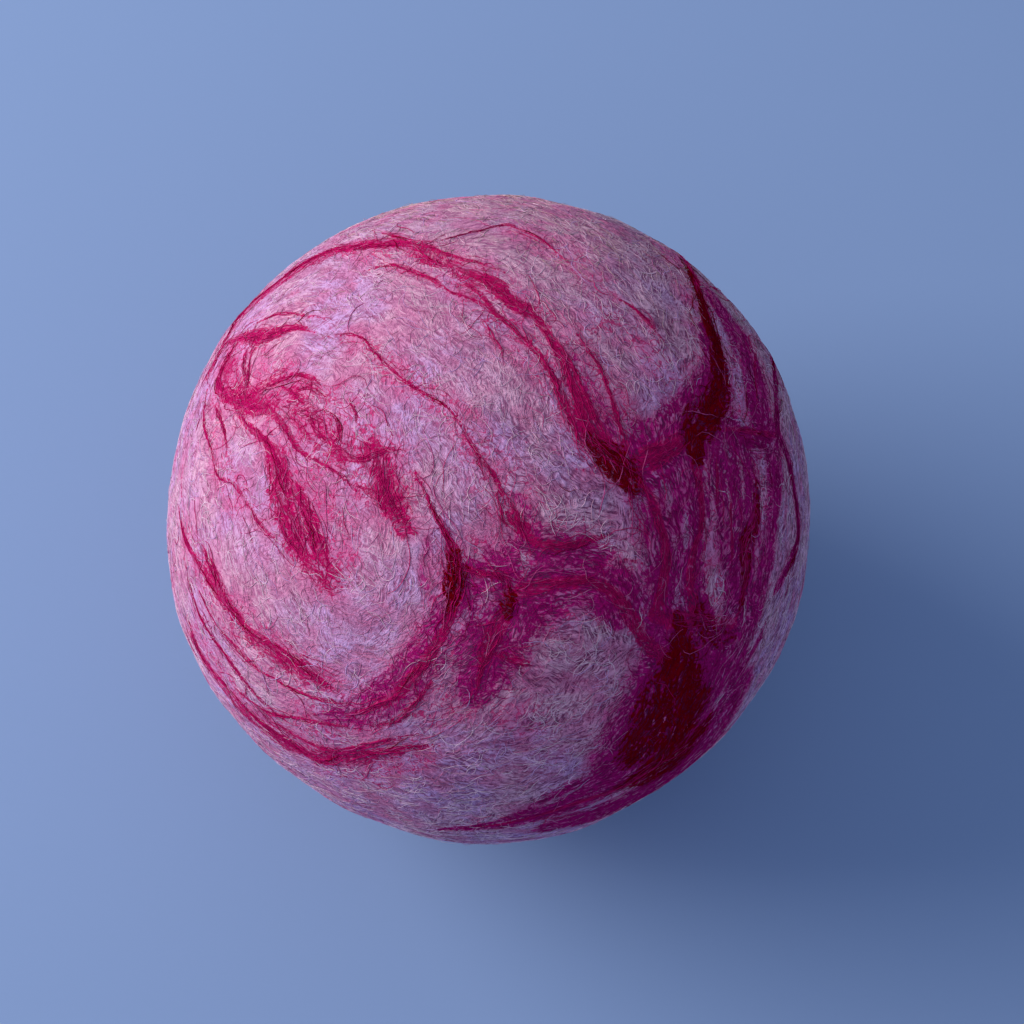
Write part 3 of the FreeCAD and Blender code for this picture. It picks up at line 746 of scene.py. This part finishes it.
def feltMaterial():
    look = bodyLook
    material, shader, place = newMaterial("feltedRoving")
    fields = {kind: place.attribute(kind) for kind in (*dyes, "blush")}
    streak, patch = place.attribute("streak"), place.attribute("patch")
    warp = (place.noise(520) - 0.5) * 7.0
    first, second = (fineFibres(place, "threads" + letter, warp) for letter in "AB")
    firstWeight, secondWeight = (place.attribute("weight" + letter) for letter in "AB")
    grain = place.noise(5200, 2.0, 0.7)
    fine = (first * firstWeight + second * secondWeight + grain * 0.12) / (firstWeight + secondWeight + 0.12)
    mid = (place.noise(620, 3.0, 0.65) - 0.5) * 2.0
    matted = fine * 0.5 + streak * 0.5

    def hairLines(scale, width):
        # thin curling lines where a slow noise passes through its middle value
        level = place.noise(scale, 2.5, 0.55) - 0.5
        return 1.0 - level.maths("ABSOLUTE", level).step(width * 0.4, width)

    # the undyed wool: pink and lilac, with painted warm light towards the top, rosy in mottles, and painted
    # shade between its fibres that grows darker on the side away from the lamp
    hairs = hairLines(420, 0.016).atLeast(hairLines(610, 0.018))
    tone = matted.step(.22, .78)
    # painted shade: the colour between the fibres grows darker towards the side away from the key lamp
    gapShade = place.along(look["shadeWay"]).step(-0.008, 0.018).mixed(look["gapShade"], look["shadeSideGapShade"])
    pale = place.noise(90).step(.40, .60).mixed(look["palePink"], look["paleLilac"])
    # painted warm light: the pale wool turns warmer and darker towards the top
    pale = (place.along(look["warmLightWay"]).step(.006, .034) * 0.8).mixed(pale, look["paleWarm"])
    pale = ((1.0 - patch).step(.46, .80) * 0.6 + mid.step(.0, .5) * 0.3).mixed(pale, look["rosy"])
    # painted shade between the fibres: the pale wool darkens to the gap shade where the matted fibres lie
    # thin
    pale = (tone * 0.8 + 0.2).mixed(gapShade, pale)
    # thin curling lines, darkened with the same painted gap shade
    cloth = (hairs * 0.35).mixed(pale, gapShade)

    # a pink halo round the dyed wisps, and stray dyed hairs in it
    halo = (fields["crimson"].atLeast(fields["purple"]) * 1.3).atLeast(fields["blush"]).atMost(0.85)
    cloth = (halo * (1.45 - tone * 0.5 + mid * 0.7 - patch * 0.8)).clamped().mixed(cloth, look["pink"])
    cloth = (hairs * fields["blush"].step(.15, .60) * 0.8).mixed(cloth, look["crimson"])

    # the wisps, frayed at their edges, with pale fibres left over them
    fray = mid * 0.6 + (fine - 0.5) * 0.8 + (streak - 0.5) * 1.5
    # painted light along the fibres of the wisps and painted shade between them, with some random tone: each
    # dye runs from its dark to its bright colour with it
    lit = (fine * 1.3 + mid * 0.5 - 0.15).clamped()

    def stain(kind, low, high, worn=0.8):
        field = fields[kind]
        return (field + fray * (field * 3.0).atMost(1.0) * worn).step(low, high)

    purple = stain("purple", .43, .55) * (1.0 - matted.step(.54, .70) * 0.50)
    cloth = purple.mixed(cloth, lit.mixed(look["deepPurple"], look["magenta"]))
    crimson = stain("crimson", .40, .54) * (1.0 - matted.step(.58, .76) * 0.55)
    cloth = crimson.mixed(cloth, lit.mixed(look["deepCrimson"], look["crimson"]))
    cloth = stain("dark", .30, .66, 1.3).mixed(cloth, lit.mixed(look["blackRed"], look["dark"]))
    # painted shade in the gaps between the fibres, laid over the wool and the dyes
    gapShadeMask = (0.47 - fine * 0.6 - grain * 0.4).step(.0, .14) * 0.75
    gapShadeMask.mixed(cloth, gapShade).feed(shader, "Base Color")
    (fine * 0.6 + streak * 0.5 + grain * 0.4).bump(shader, look["bump"], look["bumpDepth"])
    return material


def sphereMesh(name, subdivisions, innerSubdivisions):
    # an outer wall and, turned inside out, an inner wall: the mesh, its vertices' directions, and how
    # many of them are the outer wall's
    shell = bmesh.new()
    bmesh.ops.create_icosphere(shell, subdivisions=subdivisions, radius=1.0)
    outer = len(shell.verts)
    bmesh.ops.create_icosphere(shell, subdivisions=innerSubdivisions, radius=0.5)
    inside = [face for face in shell.faces if face.verts[0].co.length < 0.75]
    bmesh.ops.reverse_faces(shell, faces=inside)
    mesh = bpy.data.meshes.new(name)
    shell.to_mesh(mesh)
    shell.free()
    flat = np.empty(len(mesh.vertices) * 3, np.float32)
    mesh.vertices.foreach_get("co", flat)
    return mesh, unit(flat.reshape(-1, 3).astype(float)), outer


def flatNumbers(values):
    return np.asarray(values, np.float32).ravel()


def moveVertices(mesh, places):
    mesh.vertices.foreach_set("co", flatNumbers(places))
    mesh.update()


def store(mesh, name, values):
    # a number, or three, kept at each vertex for the material
    kind, field = ("FLOAT", "value") if values.ndim == 1 else ("FLOAT_VECTOR", "vector")
    mesh.attributes.new(name, kind, "POINT").data.foreach_set(field, flatNumbers(values))


def showPiece(name, mesh, slot, *replaced):
    mesh.polygons.foreach_set("use_smooth", np.ones(len(mesh.polygons), bool))
    piece = bpy.data.objects.new(name, mesh)
    scene.collection.objects.link(piece)
    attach(piece, "root")
    if replaced:
        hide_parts(*replaced)
    return piece


def scatter(count):
    return unit(rng.normal(size=(count, 3)))


def tuftThreads(places, count):
    # overlapping tufts: distances along and across each tuft's own fibres, fading out at its edge
    middles = scatter(count)
    flow = flatTo(middles, flowAt(middles))
    turn = rng.normal(0, bodyLook["tuftTurn"], count)[:, None]
    along = flow * np.cos(turn) + np.cross(middles, flow) * np.sin(turn)
    across = np.cross(middles, along)
    nearest = np.zeros(len(places), int)
    margin = np.zeros(len(places))
    for part in inParts(places):
        away = spacing(places[part], middles)
        closest = np.argpartition(away, 1, axis=1)[:, :2]
        nearest[part] = closest[:, 0]
        margin[part] = np.diff(np.take_along_axis(away, closest, 1))[:, 0]
    offset = (places - middles[nearest]) * ballRadius
    vector = [dots(offset, along[nearest]), dots(offset, across[nearest]), nearest[:, None] * 3.7]
    return np.hstack(vector), np.clip((margin - 0.75 * mm) / mm, 0, 1)


def makeBody():
    look = bodyLook
    subdivisions = look["subdivisions"] - 0
    mesh, places, outer = sphereMesh("feltedBody", subdivisions, look["innerSubdivisions"])
    fields = dyeAt(places)
    streak = streaksAt(places)
    reach = ballReach(places) + (streak - 0.6) * look["streakHeight"]
    reach[outer:] = np.minimum(look["innerRadius"], reach[outer:] - look["thinnest"])
    moved = places * reach[:, None] + ballCentre
    moved[:outer, 2] = np.maximum(moved[:outer, 2], 0)
    moveVertices(mesh, moved)
    for kind in (*dyes, "blush"):
        store(mesh, kind, fields[kind])
    store(mesh, "streak", streak)
    store(mesh, "patch", mottleAt(places))
    for letter, count in zip("AB", look["tufts"]):
        vector, weight = tuftThreads(places, count)
        store(mesh, "threads" + letter, vector)
        store(mesh, "weight" + letter, weight)
    mesh.materials.append(feltMaterial())
    body = showPiece("feltedBody", mesh, "pale_wool", "outer_roving")
    print("felted body:", len(mesh.polygons), "faces")


makeBody()

# inside: three wraps of batt, with their inner and outer radius in mm, and the yarn core
wrapLook = {
    "colour": (.70, .60, .54), "hollowShade": (.46, .34, .30), "noise": 1500.0,
    "gap": 0.05 * mm, "dents": 0.03 * mm,
    "radii": {"first_wrap": (14.0, 20.5), "second_wrap": (20.5, 26.5), "third_wrap": (26.5, 31.5)},
}
coreLook = {
    "radius": 13.2 * mm, "yarn": 0.8 * mm, "turns": 96, "steps": 34, "tip": 0.9, "swing": 0.26389,
    "colour": (.62, .52, .44), "hollowShade": (.34, .26, .20), "noise": 2200.0,
}


def woolMaterial(name, look):
    material, shader, place = newMaterial(name)
    curl = place.noise(260.0, 2.0, 0.5, "Color").vector("MULTIPLY", (0.004, 0.004, 0.004))
    drawn = place.vector("ADD", curl).vector("MULTIPLY", (1.0, 1.0, 0.2)).noise(look["noise"], 3.0, 0.7)
    # painted shade in the hollows that the same noise bumps down
    drawn.step(.38, .62).mixed(look["hollowShade"], look["colour"]).feed(shader, "Base Color")
    drawn.bump(shader, 0.6, 0.2 * mm)
    return material


def makeWraps():
    wool = woolMaterial("battWool", wrapLook)
    for name, (inner, outerRadius) in wrapLook["radii"].items():
        mesh, places, outer = sphereMesh(name + "Felt", 6, 5)
        dents = wrapLook["dents"] * waveSum(places[:outer] * 0.8, rippleWaves, inner)
        reach = np.full(len(places), inner * mm + wrapLook["gap"])
        reach[:outer] = outerRadius * mm - wrapLook["gap"] - np.abs(dents)
        moveVertices(mesh, places * reach[:, None] + ballCentre)
        mesh.materials.append(wool)
        showPiece(name + "Felt", mesh, "batt_wool", name)
    print("wraps:", len(wrapLook["radii"]))


def newCurve(name):
    curve = bpy.data.curves.new(name, "CURVE")
    curve.dimensions = "3D"
    curve.use_fill_caps = True
    return curve


def polySpline(curve, path):
    spline = curve.splines.new("POLY")
    spline.points.add(len(path) - 1)
    spline.points.foreach_set("co", flatNumbers(np.hstack([path, np.ones((len(path), 1))])))
    return spline


def curveMesh(name, curve):
    holder = bpy.data.objects.new(name + "Curve", curve)
    scene.collection.objects.link(holder)
    bpy.context.view_layer.update()
    mesh = bpy.data.meshes.new_from_object(holder.evaluated_get(bpy.context.evaluated_depsgraph_get()))
    mesh.name = name
    bpy.data.objects.remove(holder)
    bpy.data.curves.remove(curve)
    return mesh


def makeCore():
    # one length of yarn, wound round with its axis turning a little at each turn
    look = coreLook
    t = np.arange(look["turns"] * look["steps"]) / look["steps"]
    tip, swing = t * look["tip"], t * look["swing"]
    axis = np.stack([np.sin(tip) * np.cos(swing), np.sin(tip) * np.sin(swing), np.cos(tip)], 1)
    side = unit(np.cross(axis, np.array([0.31, 0.62, 0.72])))
    turning = (2 * math.pi * t)[:, None]
    path = unit(side * np.cos(turning) + np.cross(axis, side) * np.sin(turning))
    curve = newCurve("yarnCore")
    curve.bevel_depth = look["yarn"]
    curve.bevel_resolution = 1
    polySpline(curve, path * look["radius"] + ballCentre)
    mesh = curveMesh("yarnCore", curve)
    mesh.materials.append(woolMaterial("coreYarn", look))
    showPiece("yarnCore", mesh, "core_yarn", "yarn_ball")
    print("yarn core:", len(mesh.polygons), "faces")


makeWraps()
makeCore()

# the matted surface fibres: length in metres, thickness in mm
fibreLook = {
    "scattered": 23000, "points": 8, "length": (1.6 * mm, 4.6 * mm), "thickness": (0.045, 0.085),
    "spread": 0.5, "curl": 0.36, "pull": 0.12, "rise": 0.04 * mm, "sink": 0.035 * mm,
    "fuzz": 0.03, "fuzzRise": 6, "fuzzThickness": 0.55, "worn": 0.72,
    "pale": {"paleBright": (.92, .63, .78), "palePink": (.80, .44, .60), "paleLilac": (.71, .42, .76),
             "paleDusk": (.56, .18, .36), "paleRose": (.75, .24, .45), "paleWarm": (.64, .42, .44)},
    "dyed": {"dyePink": (.66, .09, .30), "dyePurple": (.43, .006, .155), "dyeCrimson": (.60, .010, .15),
             "dyeDark": (.24, .0, .01)},
}
bright, dusk, rose, warmLightTint = 0, 3, 4, 5
dyePink, dyePurple, dyeCrimson, dyeDark = range(4)


def tintMaterials(tints):
    made = []
    for name, tint in tints.items():
        material, shader, place = newMaterial("wool" + name[0].upper() + name[1:])
        worn = tuple(value * fibreLook["worn"] for value in tint)
        place.noise(1400).step(.40, .60).mixed(worn, tint).feed(shader, "Base Color")
        made.append(material)
    return made


paleTints, dyeTints = tintMaterials(fibreLook["pale"]), tintMaterials(fibreLook["dyed"])


def fibreSection():
    # a small triangle, one millimetre from its middle to a corner, that the fibres' radii scale
    curve = bpy.data.curves.new("fibreSection", "CURVE")
    curve.dimensions = "2D"
    turns = np.radians([90, 330, 210])
    ring = polySpline(curve, mm * np.stack([np.cos(turns), np.sin(turns), np.zeros(3)], 1))
    ring.use_cyclic_u = True
    made = bpy.data.objects.new("fibreSection", curve)
    scene.collection.objects.link(made)
    made.hide_render = True
    return made


section = fibreSection()


def growPaths(starts, headings, lengths, look):
    # fibres that grow along the surface in curls, drawn towards the flow as they go
    points, curl, pull = look["points"], look["curl"], look["pull"]
    paths = np.empty((len(starts), points, 3))
    at = starts
    heading = flatTo(at, headings)
    step = (lengths / (points - 1) / ballRadius)[:, None]
    bend = rng.normal(0, curl, len(at))
    for i in range(points):
        paths[:, i] = at
        at = unit(at + heading * step)
        flow = flowLike(at, heading)
        bend = bend * 0.55 + rng.normal(0, curl, len(at))
        turned = np.cross(at, heading) * bend[:, None]
        heading = flatTo(at, heading * (1 - pull) + flow * pull + turned)
    return paths


def liftPaths(paths, rise, sink):
    # from directions to places: the ends dive into the felt, the middle lies on it
    count, points = paths.shape[:2]
    t = np.linspace(0, 1, points)[None, :]
    wave = np.sin(t * rng.uniform(4, 11, (count, 1)) + rng.uniform(0, 6.28, (count, 1)))
    arch = np.sin(np.pi * t) ** 0.6 * (0.65 + 0.35 * wave)
    height = -sink + (sink + np.reshape(rise, (-1, 1)) * rng.uniform(0.3, 1.0, (count, 1))) * arch
    reach = ballReach(paths.reshape(-1, 3)).reshape(count, points)
    places = paths * (reach + height)[..., None] + ballCentre
    places[..., 2] = np.maximum(places[..., 2], 0.06 * mm)
    return places


def fibrePiece(name, fibres, materials, slot, *replaced):
    # thin closed tubes along the given places, each tapered to its ends
    curve = newCurve(name)
    curve.bevel_mode = "OBJECT"
    curve.bevel_object = section
    for material in materials:
        curve.materials.append(material)
    places, thickness, tints = fibres
    for path, width, tint in zip(places, thickness, tints):
        spline = polySpline(curve, path)
        taper = np.sin(np.pi * np.linspace(0.08, 0.92, len(path))) ** 0.5 * width / 2
        spline.points.foreach_set("radius", flatNumbers(taper))
        spline.material_index = int(tint)
    mesh = curveMesh(name, curve)
    showPiece(name, mesh, slot, *replaced)
    print(name, len(places), "fibres", len(mesh.polygons) * 2, "triangles")


def dyeTintAt(fields, count):
    # which tint each dyed fibre takes: the strongest kind of dye where it lies, with some stray ones
    stray = rng.normal(0, 0.12, count)
    tint = np.where(fields["purple"] + stray * 0.8 > fields["crimson"] + 0.08, dyePurple, dyeCrimson)
    tint = np.where(fields["dark"] + stray > 0.55, dyeDark, tint)
    return np.where(strongestDye(fields) + stray < 0.34, dyePink, tint)


def surfaceFibres():
    # the undyed fibres in eight pieces; gives back the dyed ones and the wisp that each belongs to
    look = fibreLook
    count = look["scattered"] // 1
    starts = scatter(count)
    turn = rng.normal(0, look["spread"], count)[:, None]
    flow = flatTo(starts, flowAt(starts)) * rng.choice([-1, 1], count)[:, None]
    heading = flow * np.cos(turn) + np.cross(starts, flow) * np.sin(turn)
    paths = growPaths(starts, heading, rng.uniform(*look["length"], count), look)
    middle = unit(paths[:, look["points"] // 2])
    fields = dyeAt(middle)
    total = strongestDye(fields)
    fuzzy = rng.random(count) < look["fuzz"]
    places = liftPaths(paths, look["rise"] * np.where(fuzzy, look["fuzzRise"], 1), look["sink"])
    thick = rng.uniform(*look["thickness"], count) * np.where(fuzzy, look["fuzzThickness"], 1)
    dyed = rng.random(count) < np.clip((total - 0.12) / 0.45, 0, 0.95 + 0.05 * (fields["dark"] > 0.3))
    dyeTint = dyeTintAt(fields, count)
    patch = mottleAt(middle)
    tint = rng.choice(3, count, p=[.24, .42, .34])
    # painted warm light: more fibres take the warm tint towards the top
    warmLightShare = np.clip((middle @ np.array(bodyLook["warmLightWay"]) - 0.2) / 0.7, 0, 1) * 0.8
    tint = np.where(rng.random(count) < warmLightShare, warmLightTint, tint)
    mottled = patch + rng.normal(0, 0.12, count)
    tint = np.where(mottled > 0.68, bright, tint)
    tint = np.where(mottled < 0.27, rose, tint)
    tint = np.where(rng.random(count) < 0.09, dusk, tint)
    stained = np.maximum(fields["blush"] * 0.8, total) * (1.5 - patch)
    tint = np.where(rng.random(count) < stained * 0.8, rose, tint)
    sector = (middle > 0) @ np.array([4, 2, 1])
    for part in range(8):
        chosen = np.flatnonzero(~dyed & (sector == part))
        fibres = places[chosen], thick[chosen], tint[chosen]
        fibrePiece("outerFibres%d" % (part + 1), fibres, paleTints, "pale_wool")
    return (places[dyed], thick[dyed], dyeTint[dyed]), wispAt(middle[dyed])


dyedFibres, dyedOwner = surfaceFibres()

# the long threads of the wisps: how many for each mm2 and mm of a strand, and which strands have them
threadLook = {
    "perArea": 0.6, "perLength": 0.75, "thickness": (0.055, 0.10), "length": (3 * mm, 8 * mm), "points": 10,
    "curl": 0.26, "pull": 0.3, "rise": 0.14 * mm, "sink": 0.05 * mm, "stray": 0.5, "strayTurn": 0.5,
    "weakest": 0.57, "widest": 4.5 * mm, "sway": 0.25, "waver": 0.09 * mm, "strayReach": 0.4 * mm,
    "tints": {"crimson": dyeCrimson, "purple": dyePurple, "dark": dyeDark},
    "darkShare": {"crimson": 0.04, "purple": 0.2, "dark": 0.2},
}


def strandFibres(strand):
    # long fibres that keep to one strand of a wisp, and some that stray from it
    look = threadLook
    kind, place, along, half = (strand[key] for key in ("kind", "place", "along", "half"))
    if kind == "bare" or half.max() * 2 > look["widest"] or strand["strength"] < look["weakest"]:
        return [], [], []
    spine = len(place)
    step = wispLook["sampleStep"]
    area = np.sum(half * 2) * step / mm**2
    length = spine * step / mm
    wanted = (area * look["perArea"] + length * look["perLength"]) * strand["strength"]
    count = int(wanted / (1)) + 2
    strays = int(count * look["stray"])
    sideways = np.cross(place, along)
    reach = np.minimum(rng.uniform(*look["length"], count) / step, spine - 1)
    first = rng.random(count) * (spine - 1 - reach)
    at = first[:, None] + np.linspace(0, 1, look["points"])[None, :] * reach[:, None]
    low = np.minimum(at.astype(int), spine - 2)
    part = (at - low)[..., None]
    middle = place[low] * (1 - part) + place[low + 1] * part
    side = sideways[low] * (1 - part) + sideways[low + 1] * part
    sway = np.sin(at * rng.uniform(0.15, 0.6, (count, 1)) + rng.uniform(0, 6.28, (count, 1)))
    offset = (rng.normal(0, 0.5, (count, 1)) + look["sway"] * sway) * half[low]
    offset += look["waver"] * rng.normal(0, 1, at.shape)
    paths = unit(middle + side * (offset / ballRadius)[..., None])
    pick = rng.integers(0, spine, strays)
    offset = rng.normal(0, 1, strays) * (half[pick] + look["strayReach"]) / ballRadius
    starts = unit(place[pick] + sideways[pick] * offset[:, None])
    turn = rng.normal(0, look["strayTurn"], strays)[:, None]
    heading = along[pick] * np.cos(turn) + sideways[pick] * np.sin(turn)
    heading = heading * rng.choice([-1, 1], strays)[:, None]
    lengths = np.minimum(rng.uniform(*look["length"], strays), length * mm)
    paths = np.vstack([paths, growPaths(starts, heading, lengths, look)])
    places = liftPaths(paths, look["rise"], look["sink"])
    count += strays
    tint = np.where(rng.random(count) < look["darkShare"][kind], dyeDark, look["tints"][kind])
    astray = np.arange(count) >= count - strays
    tint = np.where(astray & (rng.random(count) < 0.5), dyePink, tint)
    return places, rng.uniform(*look["thickness"], count), tint


wispSlots = {node["node"]: node["material_slot"] for node in frame["record"]["subparts"]}
for index, wispName in enumerate(wispNames):
    groups = [strandFibres(strand) for strand in strands if strand["wisp"] == wispName]
    groups.append([column[dyedOwner == index] for column in dyedFibres])
    fibres = [[fibre for group in column for fibre in group] for column in zip(*groups)]
    fibrePiece("fibres_" + wispName, fibres, dyeTints, wispSlots[wispName], wispName)
bpy.data.objects.remove(section)

# the floor, a soft lamp and the light of the room
roomLook = {
    "floor": (.235, .35, .58), "floorSize": 3.0, "floorRoughness": 0.9,
    "key": 5.6, "keyTint": (1.0, .93, .90), "keySize": 0.50, "keyPlace": (-0.57, 0.17, 0.36),
    "fill": 0.48, "fillTint": (.60, .72, 1.0),
}


def makeFloor():
    ground = bmesh.new()
    bmesh.ops.create_grid(ground, x_segments=1, y_segments=1, size=roomLook["floorSize"])
    mesh = bpy.data.meshes.new("floor")
    ground.to_mesh(mesh)
    ground.free()
    material, shader, place = newMaterial("paleFloor", roomLook["floorRoughness"], 0.5)
    shader.inputs["Base Color"].default_value = (*roomLook["floor"], 1)
    mesh.materials.append(material)
    floor = bpy.data.objects.new("floor", mesh)
    scene.collection.objects.link(floor)


def makeLight():
    lamp = bpy.data.lights.new("key", "AREA")
    lamp.size = roomLook["keySize"]
    lamp.energy = roomLook["key"]
    lamp.color = roomLook["keyTint"]
    aimed(bpy.data.objects.new("key", lamp), roomLook["keyPlace"], ballCentre)
    world = bpy.data.worlds.new("room")
    world.use_nodes = True
    background = world.node_tree.nodes["Background"]
    background.inputs["Color"].default_value = (*roomLook["fillTint"], 1)
    background.inputs["Strength"].default_value = roomLook["fill"]
    scene.world = world
    scene.view_settings.view_transform = "Standard"


makeFloor()
makeLight()
print("floor and light set")
